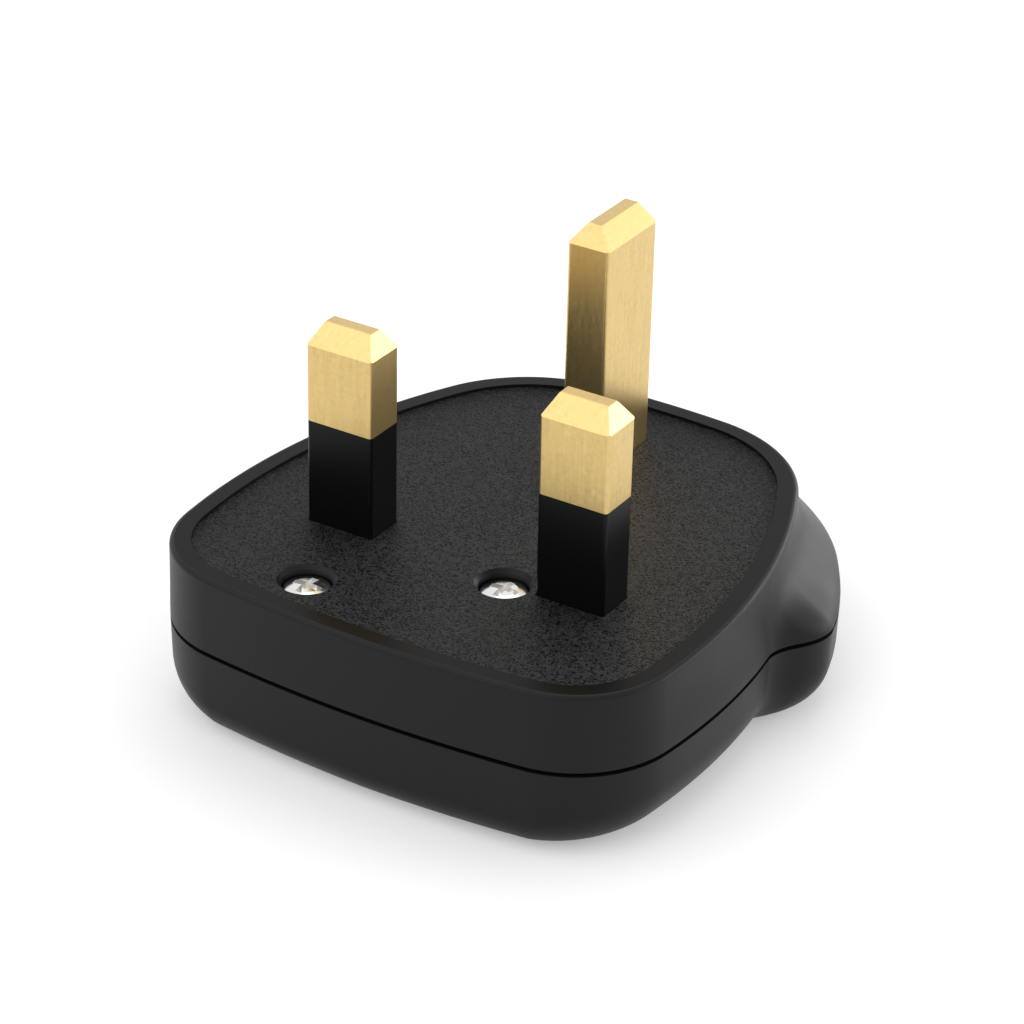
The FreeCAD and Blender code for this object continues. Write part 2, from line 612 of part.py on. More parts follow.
def base_openings():
    """The pin slots and the stepped screw holes through the pin face, and the grip screws' holes."""
    reach = (0, FACE_Z + OVERCUT)
    gap = PIN_SLOT_CLEARANCE
    half_width = BLADE_WIDTH / 2 + gap
    half_thickness = BLADE_THICKNESS / 2 + gap
    through = (PLATE_Z, FACE_Z + OVERCUT)
    cuts = [rounded_bar(around(x, half_width), around(0, half_thickness), through, PIN_EDGE_RADIUS)
            for x in (LIVE_X, NEUTRAL_X)]
    cuts.append(rounded_bar(around(0, half_thickness), around(EARTH_OFFSET, EARTH_WIDTH / 2 + gap), through,
                            PIN_EDGE_RADIUS))
    wide = COUNTERBORE_RADIUS + COUNTERBORE_CHAMFER
    for x, y in COVER_SCREWS.values():
        cuts.append(rod(SCREW_RADIUS + SCREW_HOLE_CLEARANCE, reach, x, y))
        profile = [(0, SCREW_SEAT_Z), (COUNTERBORE_RADIUS, SCREW_SEAT_Z),
                   (COUNTERBORE_RADIUS, PANEL_Z - COUNTERBORE_CHAMFER), (wide, PANEL_Z), (wide, FACE_Z + OVERCUT),
                   (0, FACE_Z + OVERCUT)]
        cuts.append(turned(profile, x, y))
    pilot_top = PARTING_Z - GRIP_BAR_EAR + GRIP_SCREW_LENGTH + GRIP_SCREW_CLEARANCE
    for side in (-1, 1):
        cuts.append(rod(GRIP_SCREW_RADIUS + GRIP_SCREW_CLEARANCE, (0, pilot_top), side * GRIP_SCREW_X, GRIP_SCREW_Y))
    return cuts


def base():
    """The shell that carries the pins: a plate with a rim, walls that swell into the grip."""
    shell = base_skin().cut(hollow((PLATE_Z, FACE_Z - BASE_DEPTH * CAVITY_BEND, PARTING_Z), WALL))
    shell = shell.cut(hollow((TONGUE_TOP_Z, PARTING_Z), WALL - TONGUE_WALL - TONGUE_CLEARANCE))
    shell = shell.cut(Part.Face(panel_outline(RIM_WIDTH, PANEL_Z)).extrude(UP * (PANEL_SINK + OVERCUT)))
    upper = box(around(0, 2 * HALF_WIDTH), around(0, 2 * END_Y), (PARTING_Z, FACE_Z))
    body = shell.multiFuse([base_ribs(), collar().common(upper)] + base_stands())
    openings = base_openings() + [inlet_way()]
    return body.cut(openings[0].multiFuse(openings[1:]))


def foot_row(angle):
    """A line round the cover's lower edge: 0 is where the wall ends, 90 is the flat back."""
    turn = math.radians(angle)

    def place(point, normal):
        radius = foot_radius(normal)
        z = radius * (1 - math.sin(turn))
        draft = COVER_DRAFT * (PARTING_Z - z) / COVER_DEPTH
        return grip_swell(point.y) - draft - radius * (1 - math.cos(turn)), z

    return closed_row(place)


def cover_skin():
    """The outer form of the cover: a drafted wall and a round foot that runs into the flat back."""
    return Part.makeLoft([section(COVER_TOP_Z)] + [foot_row(angle) for angle in FOOT_ANGLES], True, True)


def cover_ribs():
    """Low ribs on the cover's floor, rooted in the floor and the walls."""
    level = (COVER_FLOOR / 2, COVER_FLOOR + COVER_RIB_HEIGHT)
    ribs = [box(around(0, 2 * HALF_WIDTH), around(y, RIB / 2), level) for y in COVER_RIB_YS]
    ribs += [box(around(side * COVER_RIB_X, RIB / 2), (FRONT_Y, END_Y), level) for side in (-1, 1)]
    return ribs[0].multiFuse(ribs[1:]).common(hollow(level, WALL / 2))


def fuse_cradle(y):
    """A wall on the cover's floor that the fuse lies in."""
    level = (COVER_FLOOR / 2, FUSE_Z - FUSE_RADIUS / 2)
    cradle = box(around(LIVE_X, CRADLE_WIDTH), around(y, RIB / 2), level)
    return cradle.cut(rod_along_y(FUSE_BODY_RADIUS, around(y, RIB), LIVE_X, FUSE_Z))


def cover():
    """The back shell, with a tongue that enters the base and posts that hold the inserts."""
    tongue = hollow((COVER_TOP_Z - TONGUE_HEIGHT, PARTING_Z, TONGUE_TOP_Z), WALL - TONGUE_WALL).cut(collar())
    heights = COVER_CAVITY_Z + (PARTING_Z, TONGUE_TOP_Z + OVERCUT)
    shell = cover_skin().fuse(tongue).cut(hollow(heights, WALL))
    lower = box(around(0, 2 * HALF_WIDTH), around(0, 2 * END_Y), (0, PARTING_Z))
    stands = [rod(POST_RADIUS, (COVER_FLOOR / 2, PARTING_Z), x, y) for x, y in COVER_SCREWS.values()]
    stands += [fuse_cradle(y) for y in CRADLE_YS]
    body = shell.multiFuse([cover_ribs(), collar().common(lower)] + stands)
    cuts = [inlet_way()]
    for x, y in COVER_SCREWS.values():
        cuts.append(rod(INSERT_RADIUS, (PARTING_Z - INSERT_HEIGHT, PARTING_Z + OVERCUT), x, y))
        cuts.append(rod(SCREW_RADIUS, (SCREW_SEAT_Z - SCREW_LENGTH - PANEL_SINK, PARTING_Z), x, y))
    return body.cut(cuts[0].multiFuse(cuts[1:]))


def pieces():
    """Every sub-part by its node name."""
    found = {
        "base": base(),
        "cover": cover(),
        "live_pin": live_pin(),
        "neutral_pin": neutral_pin(),
        "earth_pin": earth_pin(),
        "live_pin_sleeve": pin_sleeve(LIVE_X),
        "neutral_pin_sleeve": pin_sleeve(NEUTRAL_X),
        "fuse_body": fuse_body(),
        "fuse_cap_front": fuse_cap(True),
        "fuse_cap_back": fuse_cap(False),
        "fuse_clip_pin": fuse_clip_pin(),
        "fuse_clip_terminal": fuse_clip_terminal(),
        "clip_rivet": clip_rivet(),
        "live_terminal": live_terminal(),
        "live_terminal_screw": terminal_screw(LIVE_WIRE_X, LIVE_WIRE_Y, LIVE_BLOCK_Z, LIVE_WIRE_Z),
        "neutral_terminal_screw": terminal_screw(NEUTRAL_WIRE_X, 0, TERMINAL_Z, WIRE_HOLE_Z),
        "earth_terminal_screw": terminal_screw(0, EARTH_OFFSET, TERMINAL_Z, WIRE_HOLE_Z),
        "cord_grip": cord_grip(),
    }
    for name, side in (("left", -1), ("right", 1)):
        found["cord_grip_screw_" + name] = cord_grip_screw(side)
        found["cover_screw_" + name] = cover_screw(*COVER_SCREWS[name])
        found["cover_insert_" + name] = cover_insert(*COVER_SCREWS[name])
    return found


def main():
    os.makedirs("parts", exist_ok=True)
    for name, shape in pieces().items():
        solid = shape.Solids[0] if len(shape.Solids) == 1 else shape
        solid.exportStep("parts/" + name + ".step")
        print(name, len(shape.Solids), solid.isValid(), round(solid.Volume, 2))


main()
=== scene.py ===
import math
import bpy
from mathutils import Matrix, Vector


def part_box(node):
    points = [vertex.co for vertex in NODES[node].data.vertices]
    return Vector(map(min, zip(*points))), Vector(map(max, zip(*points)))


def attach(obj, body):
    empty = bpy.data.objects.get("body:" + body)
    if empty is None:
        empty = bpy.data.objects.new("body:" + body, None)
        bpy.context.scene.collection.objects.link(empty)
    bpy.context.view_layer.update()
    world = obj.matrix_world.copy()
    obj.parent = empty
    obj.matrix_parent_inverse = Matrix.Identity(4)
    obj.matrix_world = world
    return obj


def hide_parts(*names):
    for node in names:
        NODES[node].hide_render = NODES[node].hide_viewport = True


bl_info = {
    "name": "UK three pin plug",
    "version": (1, 0, 0),
    "blender": (4, 5, 0),
    "location": "3D View > Sidebar > Plug",
    "description": "Finishes, stage and camera for a black three pin plug",
    "category": "Object",
}

from collections import namedtuple

import bpy
import numpy as np
from bpy.props import FloatProperty, FloatVectorProperty, PointerProperty
from bpy.types import Operator, Panel, PropertyGroup
from mathutils import Matrix, Vector

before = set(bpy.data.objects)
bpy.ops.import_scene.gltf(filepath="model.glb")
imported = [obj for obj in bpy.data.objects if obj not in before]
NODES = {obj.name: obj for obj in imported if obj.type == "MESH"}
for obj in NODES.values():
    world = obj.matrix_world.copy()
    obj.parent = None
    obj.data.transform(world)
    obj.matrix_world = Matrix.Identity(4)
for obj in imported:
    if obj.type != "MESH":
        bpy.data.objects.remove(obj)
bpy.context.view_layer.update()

MM = 0.001

# Levels of the housing: the pin face and its sunk panel, and the cover and base at the parting
PANEL_DEPTH = 0.3 * MM
PARTING_GAP = 0.16 * MM
RIM_RADIUS = 0.42 * MM
FACE_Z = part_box("base")[1][2]
PANEL_Z = FACE_Z - PANEL_DEPTH
PARTING_Z = 8.0 * MM
BASE_LOW_Z = PARTING_Z + PARTING_GAP
RIM_LOW_Z = FACE_Z - RIM_RADIUS

# The rim's outline: tangent arcs of one half, from the front's middle to the earth end
FRONT_Y = -16.2 * MM
END_Y = 32.9 * MM
HALF_WIDTH = 23.5 * MM
WIDEST_Y = -0.9 * MM
FRONT_RADIUS = 120.0 * MM
SIDE_RADIUS = 59.0 * MM
END_RADIUS = 84.0 * MM
CORNER_RADIUS = 9.2 * MM
SHOULDER_RADIUS = 13.8 * MM

# The walls: a slight swell from the front, then the crease and the crest of the grip
WAIST_SWELL = 0.8 * MM
WAIST_Y = (-18.5 * MM, 15.5 * MM)
GRIP_FROM_Y = 9.7 * MM
GRIP_CREASE_Y = 12.4 * MM
GRIP_TO_Y = 15.7 * MM
SOLID_POWER = 3.0
SHOWN_POWER = 2.2
COVER_DRAFT = 0.2 * MM

# How the outer wall is found in a CAD mesh: how far from its formula a corner may lie, how well
# a triangle has to face its way, and the least height of a triangle that isn't level
NEAR_WALL = 0.65 * MM
FACING_WALL = 0.6
LEAST_HEIGHT = 0.001 * MM

# How near to a level counts as on it, how close corners are to merge, the step that slopes are
# worked out with, and the least length that a vector is divided by
ON_LEVEL = 0.01 * MM
MERGE_STEP = 0.0005 * MM
SLOPE_STEP = 0.004 * MM
LEAST_LENGTH = 1e-12

# How often the shown walls' triangles are halved
HALVINGS = 2

# The photograph's camera: its turn round the plug, height, roll, distance and focal length
CAMERA_TURN = math.radians(31.498)
CAMERA_RISE = math.radians(29.04)
CAMERA_ROLL = math.radians(1.309)
CAMERA_DISTANCE = 291.287 * MM
CAMERA_TARGET = Vector((-0.565 * MM, 8.09 * MM, FACE_Z))
CAMERA_CLIP = (10.0 * MM, 20000.0 * MM)
FOCAL_PIXELS = 3490.2
PICTURE_PIXELS = 1024
SENSOR_WIDTH = 36.0

# The softboxes' turn and rise in degrees, distance, width and height in metres, and watts
SOFTBOXES = {
    "key_softbox": (-32.0, 42.0, 0.9, 1.1, 0.9, 2.3),
    "right_softbox": (112.0, 22.0, 0.9, 0.6, 0.5, 0.7),
    "low_softbox": (150.0, 4.0, 0.6, 0.8, 0.25, 2.2),
    "top_softbox": (200.0, 68.0, 1.0, 0.6, 0.6, 1.3),
}
LIT_CENTRE = Vector((0.0, 8.0 * MM, 10.0 * MM))
FLOOR_HALF = 3000.0 * MM
FLOOR_Z = -0.02 * MM

# Noise scales of the finishes, per metre
WALL_CLOUDS = 160.0
WALL_SKIN = 2600.0
PANEL_RIDGES = 3400.0
PANEL_PATCHES = 1500.0
BRASS_STREAKS = 4200.0
BRASS_MOTTLE = 2400.0
BRASS_CLOUDS = 420.0
PLATING_GRAIN = 2400.0

# How far the brass's streaks are drawn out: their pattern's scale along the axis
STREAK_STRETCH = 0.06


# Node helpers


def fresh_material(name):
    """A node material with no nodes yet, and its tree."""
    material = bpy.data.materials.new(name)
    material.use_nodes = True
    material.node_tree.nodes.clear()
    return material, material.node_tree


def add(tree, kind, settings=None, **inputs):
    """One node with its settings, and its inputs set to values or linked to sockets. An input
    goes by its name, with _ for a space, or by its place, as i0."""
    node = tree.nodes.new(kind)
    for key, value in (settings or {}).items():
        setattr(node, key, value)
    for key, value in inputs.items():
        by_place = key[0] == "i" and key[1:].isdigit()
        socket = node.inputs[int(key[1:]) if by_place else key.replace("_", " ")]
        if isinstance(value, bpy.types.NodeSocket):
            tree.links.new(value, socket)
        elif socket.type == "RGBA":
            socket.default_value = (*value[:3], 1.0)
        else:
            socket.default_value = value
    return node


def finished(material, **inputs):
    """Gives a material its shader, with the inputs, and hands the material back."""
    shader = add(material.node_tree, "ShaderNodeBsdfPrincipled", **inputs)
    add(material.node_tree, "ShaderNodeOutputMaterial", Surface=shader.outputs[0])
    return material


def maths(tree, operation, first, second=0.0):
    """What an operation makes of two values."""
    return add(tree, "ShaderNodeMath", {"operation": operation}, i0=first, i1=second).outputs[0]


def noise(tree, place, scale, detail=2.0, roughness=0.5):
    """Soft noise from 0 to 1 at the places."""
    settings = {"Vector": place, "Scale": scale, "Detail": detail, "Roughness": roughness}
    return add(tree, "ShaderNodeTexNoise", **settings).outputs["Fac"]


def blend(tree, share, first, second):
    """A mix of two colours: the first at a share of 0, the second at 1."""
    return add(tree, "ShaderNodeMix", {"data_type": "RGBA"}, i0=share, i6=first, i7=second).outputs[2]


def span(tree, value, source, target=(0.0, 1.0)):
    """The value mapped from the source range to the target range and held at the ends."""
    ends = {"i1": source[0], "i2": source[1], "i3": target[0], "i4": target[1]}
    return add(tree, "ShaderNodeMapRange", {"clamp": True}, i0=value, **ends).outputs[0]


def bump(tree, pattern, depth):
    """The normal of a surface that a pattern from 0 to 1 raises by the depth, in metres."""
    height = maths(tree, "MULTIPLY", pattern, depth)
    return add(tree, "ShaderNodeBump", Height=height, Strength=1.0, Distance=1.0).outputs["Normal"]


def object_place(tree, stretch=None):
    """Object coordinates, scaled along the axes where a stretch is given."""
    place = tree.nodes.new("ShaderNodeTexCoord").outputs["Object"]
    if stretch is None:
        return place
    return add(tree, "ShaderNodeMapping", Vector=place, Scale=stretch).outputs[0]


def shade(colour, share):
    """A colour made darker or lighter by a share."""
    return [value * share for value in colour]


def finish_node(node_name, material):
    """Gives a CAD node its material."""
    slots = NODES[node_name].data.materials
    slots.clear()
    slots.append(material)


# The housing's smooth walls


def circles_meet(centre_a, radius_a, centre_b, radius_b, upper):
    """The point on both circles with the higher or the lower y."""
    line = centre_b - centre_a
    gap = np.hypot(*line)
    reach = (radius_a ** 2 - radius_b ** 2 + gap ** 2) / (2 * gap)
    side = np.array((-line[1], line[0])) * (math.sqrt(radius_a ** 2 - reach ** 2) / gap)
    foot = centre_a + line * (reach / gap)
    lower_meet, upper_meet = sorted((foot + side, foot - side), key=lambda meet: meet[1])
    return upper_meet if upper else lower_meet


def outline_arcs():
    """The centres, radii and end angles of the five arcs of the outline's right half. The front,
    side and end arcs are set by their sizes, and the two between touch the arcs beside them
    inside, so their centres lie on circles round the others' centres."""
    front = np.array((0.0, FRONT_Y + FRONT_RADIUS))
    side = np.array((HALF_WIDTH - SIDE_RADIUS, WIDEST_Y))
    end = np.array((0.0, END_Y - END_RADIUS))
    corner = circles_meet(
        front, FRONT_RADIUS - CORNER_RADIUS, side, SIDE_RADIUS - CORNER_RADIUS, upper=False)
    shoulder = circles_meet(
        side, SIDE_RADIUS - SHOULDER_RADIUS, end, END_RADIUS - SHOULDER_RADIUS, upper=True)
    pairs = ((front, corner), (side, corner), (side, shoulder), (end, shoulder))
    joins = [math.atan2(*(target - start)[::-1]) for start, target in pairs]
    radii = (FRONT_RADIUS, CORNER_RADIUS, SIDE_RADIUS, SHOULDER_RADIUS, END_RADIUS)
    centres = np.array((front, corner, side, shoulder, end))
    return centres, np.array(radii), np.array(joins + [math.pi])


def outline_place(x, y):
    """For each point: its distance outside the outline, the outward normal and the y of the
    nearest point on the outline. Each arc serves the points that it faces, the front's only those
    ahead of the corners: the distance is the length from its centre less its radius, and the
    normal points away from its centre."""
    centres, radii, ends = outline_arcs()
    across = np.abs(x)[:, None] - centres[:, 0]
    along = y[:, None] - centres[:, 1]
    served = np.arctan2(along, across) <= ends
    served[:, 0] &= y < centres[1, 1]
    arc = np.argmax(served, axis=1)
    rows = np.arange(len(x))
    across, along, radius = across[rows, arc], along[rows, arc], radii[arc]
    reach = np.hypot(across, along)
    normal = np.stack((np.sign(x) * across / reach, along / reach), axis=1)
    return reach - radius, normal, centres[arc, 1] + radius * normal[:, 1]


def ramp(value, low, high):
    """A smooth step from 0 to 1 between low and high: 3 s squared less 2 s cubed."""
    share = np.clip((value - low) / (high - low), 0.0, 1.0)
    return share * share * (3 - 2 * share)


def grip_swell(y, wall):
    """How far a wall stands out at the parting plane: the waist's slow ramp, plus a parabola
    that opens into the crease and one that closes over the crest, less a fade to the end."""
    length = GRIP_TO_Y - GRIP_FROM_Y
    crease = GRIP_CREASE_Y - GRIP_FROM_Y
    run = np.clip(y - GRIP_FROM_Y, 0.0, length)
    opening = run ** 2 / (crease * length)
    closing = 1 - (length - run) ** 2 / ((length - crease) * length)
    grip = wall.crest * np.where(run < crease, opening, closing)
    return WAIST_SWELL * ramp(y, *WAIST_Y) + grip * (1 - wall.fade * ramp(y, *wall.fade_ys))


def solid_flare(drop):
    """The share of the swell at each drop in the solid's wall: a smooth step of the cubed drop."""
    return ramp(drop ** SOLID_POWER, 0.0, 1.0)


def shown_flare(drop):
    """The share of the swell at each drop as shown: a quarter sine, full from the rim down."""
    return np.sin(0.5 * math.pi * drop ** SHOWN_POWER)


def wall_gap(points, wall):
    """How far each point lies outside the smooth wall at its height, and the outline's normal.
    The wall's offset from the outline is the swell times the flare of the drop on the base,
    the swell less its draft on the cover, and less a quarter circle at the rim and the foot."""
    x, y, z = points.T
    distance, normal, spot = outline_place(x, y)
    swell = grip_swell(spot, wall)
    drop = np.clip((RIM_LOW_Z - z) / (RIM_LOW_Z - BASE_LOW_Z), 0.0, 1.0)
    lift = np.clip(z - RIM_LOW_Z, 0.0, RIM_RADIUS)
    base = swell * wall.flare(drop) - RIM_RADIUS + np.sqrt(RIM_RADIUS ** 2 - lift ** 2)
    foot = wall.front_foot + (wall.side_foot - wall.front_foot) * np.abs(normal[:, 0])
    rise = np.clip(foot - z, 0.0, foot)
    draft = COVER_DRAFT * (PARTING_Z - z) / PARTING_Z
    cover = swell - draft - foot + np.sqrt(foot ** 2 - rise ** 2)
    return distance - np.where(z > PARTING_Z, base, cover), normal


def wall_slope(points, wall):
    """The rate at which the gap grows along X, Y and Z, from small steps both ways."""
    steps = SLOPE_STEP * np.eye(3)
    rises = [wall_gap(points + step, wall)[0] - wall_gap(points - step, wall)[0] for step in steps]
    return np.stack(rises, axis=1) / (2 * SLOPE_STEP)


# A wall: the foot's radius at the front and at the sides, the flare, and the grip's swell at its
# crest, how much of it fades, and from where to where
Wall = namedtuple("Wall", "front_foot side_foot flare crest fade fade_ys")
SOLID_WALL = Wall(3.2 * MM, 6.0 * MM, solid_flare, 3.8 * MM, 0.35, (19.0 * MM, 24.3 * MM))
SHOWN_WALL = Wall(2.8 * MM, 5.0 * MM, shown_flare, 3.75 * MM, 0.33, (16.5 * MM, 31.0 * MM))


def unit(vectors):
    """Vectors of length 1, along the last axis."""
    return vectors / np.maximum(np.linalg.norm(vectors, axis=-1, keepdims=True), LEAST_LENGTH)


def outer_wall(points, triangles):
    """Which triangles lie on the outer wall: near it at all three corners, facing its way, and
    not level."""
    corners = points[triangles]
    slope = wall_slope(points, SOLID_WALL)
    gap = np.abs(wall_gap(points, SOLID_WALL)[0])
    near = gap < NEAR_WALL * np.linalg.norm(slope, axis=1)
    facing = unit(np.cross(corners[:, 1] - corners[:, 0], corners[:, 2] - corners[:, 0]))
    outward = unit(slope[triangles].mean(axis=1))
    agree = np.einsum("tk,tk->t", facing, outward) > FACING_WALL
    upright = np.ptp(corners[:, :, 2], axis=1) > LEAST_HEIGHT
    return near[triangles].all(axis=1) & agree & upright


def halved(points, triangles, normals, on_wall):
    """Four triangles for each one, through the middles of its edges, with the corner normals
    of the new corners halfway between the old ones."""
    edges = np.sort(triangles[:, ((0, 1), (1, 2), (2, 0))].reshape(-1, 2), axis=1)
    edges, place = np.unique(edges, axis=0, return_inverse=True)
    corners = np.concatenate((triangles, place.reshape(-1, 3) + len(points)), axis=1)
    points = np.concatenate((points, points[edges].mean(axis=1)))
    normals = np.concatenate((normals, unit(normals + normals[:, (1, 2, 0)])), axis=1)
    order = np.array(((0, 3, 5), (3, 1, 4), (5, 4, 2), (3, 4, 5)))
    triangles = corners[:, order].reshape(-1, 3)
    return points, triangles, normals[:, order].reshape(-1, 3, 3), np.repeat(on_wall, len(order))


def smoothed(points, triangles, normals, on_wall, shown):
    """Moves the corners of the wall's triangles sideways onto the shown wall, and turns their
    normals square to it."""
    moved = np.unique(triangles[on_wall])
    gap, outward = wall_gap(points[moved], shown)
    points = points.copy()
    points[moved, :2] -= gap[:, None] * outward
    slope = np.zeros_like(points)
    slope[moved] = wall_slope(points[moved], shown)
    normals = normals.copy()
    normals[on_wall] = unit(slope[triangles[on_wall]])
    return points, normals


def read(items, key, width, kind):
    """One value of each item of a mesh, in rows of its width."""
    values = np.empty(len(items) * width, kind)
    items.foreach_get(key, values)
    return values.reshape(-1, width)


def node_mesh(node_name):
    """A CAD node's points, merged where they meet, its triangles and their corner normals."""
    source = NODES[node_name].data
    source.calc_loop_triangles()
    points = read(source.vertices, "co", 3, float)
    loops = read(source.loop_triangles, "loops", 3, np.int32)
    loop_points = read(source.loops, "vertex_index", 1, np.int32).ravel()
    normals = read(source.corner_normals, "vector", 3, np.float32)
    steps = np.round(points / MERGE_STEP).astype(np.int64)
    _, first, merged = np.unique(steps, axis=0, return_index=True, return_inverse=True)
    triangles = merged.ravel()[loop_points[loops]]
    whole = (triangles != triangles[:, (1, 2, 0)]).all(axis=1)
    return points[first], triangles[whole], normals[loops][whole]


def on_level(heights, level):
    """Which heights lie at a level."""
    return np.abs(heights - level) < ON_LEVEL


def smooth_shell(node_name, shown, lip_easing, materials):
    """A copy of a shell that stands for the CAD node, with the outer wall as shown and eased lips
    at the parting. Its walls take the first material, level triangles at the rim's height the
    second, and those at the panel's height the third."""
    points, triangles, normals = node_mesh(node_name)
    on_wall = outer_wall(points, triangles)
    edge = np.unique(triangles[on_wall])
    for level, easing in ((BASE_LOW_Z, lip_easing), (PARTING_Z, -lip_easing)):
        points[edge[on_level(points[edge, 2], level)], 2] += easing
    points, normals = smoothed(points, triangles, normals, on_wall, shown)
    for _ in range(HALVINGS):
        points, triangles, normals, on_wall = halved(points, triangles, normals, on_wall)
        points, normals = smoothed(points, triangles, normals, on_wall, shown)
    mesh = bpy.data.meshes.new("smooth_" + node_name)
    mesh.from_pydata(points, [], triangles)
    mesh.shade_smooth()
    mesh.normals_split_custom_set(normals.reshape(-1, 3))
    for material in materials:
        mesh.materials.append(material)
    heights = points[triangles][:, :, 2]
    at_rim = on_level(heights, FACE_Z).all(axis=1)
    at_panel = on_level(heights, PANEL_Z).all(axis=1)
    mesh.polygons.foreach_set("material_index", (at_rim + 2 * at_panel).astype(np.int32))
    shell = add_object("smooth_" + node_name, mesh)
    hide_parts(node_name)
    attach(shell, "root")


# Materials


def wall_material(name, colour, roughness, shine, skin_depth):
    """Satin black moulded plastic with faint clouds and, where it has a depth, a very fine skin."""
    material, tree = fresh_material(name)
    place = object_place(tree)
    cloud = noise(tree, place, WALL_CLOUDS)
    tint = blend(tree, cloud, colour, shade(colour, 1.25))
    rough = span(tree, cloud, (0.3, 0.7), (roughness - 0.03, roughness + 0.03))
    skin = bump(tree, noise(tree, place, WALL_SKIN), skin_depth)
    return finished(
        material, Base_Color=tint, Roughness=rough, Normal=skin, Specular_IOR_Level=shine)


def panel_material(look, shine):
    """The pin face's grain: fine winding ridges, where a soft noise is near its middle value, with
    the ridges painted lighter as painted glints.
    """
    material, tree = fresh_material("moulded_panel")
    place = object_place(tree)
    coarse = noise(tree, place, PANEL_RIDGES, detail=3.0, roughness=0.6)
    off_middle = maths(tree, "ABSOLUTE", maths(tree, "SUBTRACT", coarse, 0.5))
    patches = span(tree, noise(tree, place, PANEL_PATCHES), (0.35, 0.65), (0.45, 1.0))
    ridges = maths(tree, "MULTIPLY", span(tree, off_middle, (0.0, 0.1), (1.0, 0.0)), patches)
    # The ridges are real grain, but their much lighter colour is a painted highlight that stands in
    # for glints
    tint = blend(tree, ridges, look.panel_colour, look.ridge_glint_colour)
    valley, top = look.panel_roughness + 0.08, look.panel_roughness - 0.06
    rough = span(tree, ridges, (0.0, 1.0), (valley, top))
    grain = bump(tree, ridges, look.grain_depth)
    return finished(
        material, Base_Color=tint, Roughness=rough, Normal=grain, Specular_IOR_Level=shine)


def brass_material(name, colour, roughness, streak_axis, streak_depth):
    """Brushed brass: long fine streaks along one axis, a fine mottle, and faint darker clouds."""
    material, tree = fresh_material(name)
    stretch = [1.0, 1.0, 1.0]
    stretch[streak_axis] = STREAK_STRETCH
    place = object_place(tree)
    streaks = noise(tree, object_place(tree, stretch), BRASS_STREAKS, detail=3.0, roughness=0.6)
    mottle = noise(tree, place, BRASS_MOTTLE, detail=3.0, roughness=0.6)
    clouds = noise(tree, place, BRASS_CLOUDS, detail=3.0, roughness=0.55)
    grain = maths(tree, "MULTIPLY", maths(tree, "ADD", streaks, mottle), 0.5)
    tint = blend(tree, span(tree, grain, (0.36, 0.62)), shade(colour, 0.8), colour)
    tint = blend(tree, span(tree, clouds, (0.35, 0.7)), tint, shade(colour, 0.93))
    rough = span(tree, grain, (0.35, 0.65), (roughness + 0.04, roughness - 0.03))
    brushed = bump(tree, grain, streak_depth)
    return finished(material, Base_Color=tint, Roughness=rough, Normal=brushed, Metallic=1.0)


def metal_material(name, colour, roughness):
    """Bright plated metal with a faint turned grain."""
    material, tree = fresh_material(name)
    grain = noise(tree, object_place(tree), PLATING_GRAIN)
    tint = blend(tree, span(tree, grain, (0.35, 0.75)), colour, shade(colour, 0.95))
    rough = span(tree, grain, (0.3, 0.75), (roughness, roughness + 0.03))
    return finished(material, Base_Color=tint, Roughness=rough, Metallic=1.0)


def plain_material(name, colour, roughness, grain_scale, grain_depth, shine=0.5):
    """A moulded or fired surface with a fine grain."""
    material, tree = fresh_material(name)
    grain = noise(tree, object_place(tree), grain_scale)
    tint = blend(tree, span(tree, grain, (0.35, 0.7)), colour, shade(colour, 1.2))
    normal = bump(tree, grain, grain_depth)
    return finished(
        material, Base_Color=tint, Roughness=roughness, Normal=normal, Specular_IOR_Level=shine)


# Stage


def add_object(name, data):
    """A new object in the scene."""
    item = bpy.data.objects.new(name, data)
    bpy.context.scene.collection.objects.link(item)
    return item


def direction(turn, rise):
    """The unit vector that stands at a turn round the plug from its front, and at a rise."""
    level = math.cos(rise)
    return Vector((math.sin(turn) * level, -math.cos(turn) * level, math.sin(rise)))


def look_at(place, target, roll=0.0):
    """A matrix at the place that looks at the target, with an optional roll."""
    back = (place - target).normalized()
    right = Vector((0, 0, 1)).cross(back).normalized()
    up = back.cross(right)
    turned_right = right * math.cos(roll) + up * math.sin(roll)
    turned_up = -right * math.sin(roll) + up * math.cos(roll)
    matrix = Matrix((turned_right, turned_up, back)).transposed().to_4x4()
    matrix.translation = place
    return matrix


def add_camera():
    """The photograph's camera."""
    data = bpy.data.cameras.new("photo_camera")
    data.sensor_width = SENSOR_WIDTH
    data.lens = FOCAL_PIXELS / PICTURE_PIXELS * SENSOR_WIDTH
    data.clip_start, data.clip_end = CAMERA_CLIP
    camera = add_object("photo_camera", data)
    place = CAMERA_TARGET + direction(CAMERA_TURN, CAMERA_RISE) * CAMERA_DISTANCE
    camera.matrix_world = look_at(place, CAMERA_TARGET, CAMERA_ROLL)
    bpy.context.scene.camera = camera


def add_softbox(name, turn, rise, distance, width, height, power):
    """A softbox that looks at the plug from a turn and a rise in degrees."""
    data = bpy.data.lights.new(name, "AREA")
    data.shape = "RECTANGLE"
    data.size = width
    data.size_y = height
    data.energy = power
    away = direction(math.radians(turn), math.radians(rise))
    add_object(name, data).matrix_world = look_at(LIT_CENTRE + away * distance, LIT_CENTRE)


def seen_or_mirrored(tree):
    """1 for what the camera sees straight on, in gloss or through glass, and 0 for plain light."""
    path = tree.nodes.new("ShaderNodeLightPath")
    gloss = maths(tree, "MAXIMUM", path.outputs["Is Glossy Ray"], path.outputs["Is Transmission Ray"])
    return maths(tree, "MAXIMUM", path.outputs["Is Camera Ray"], gloss)


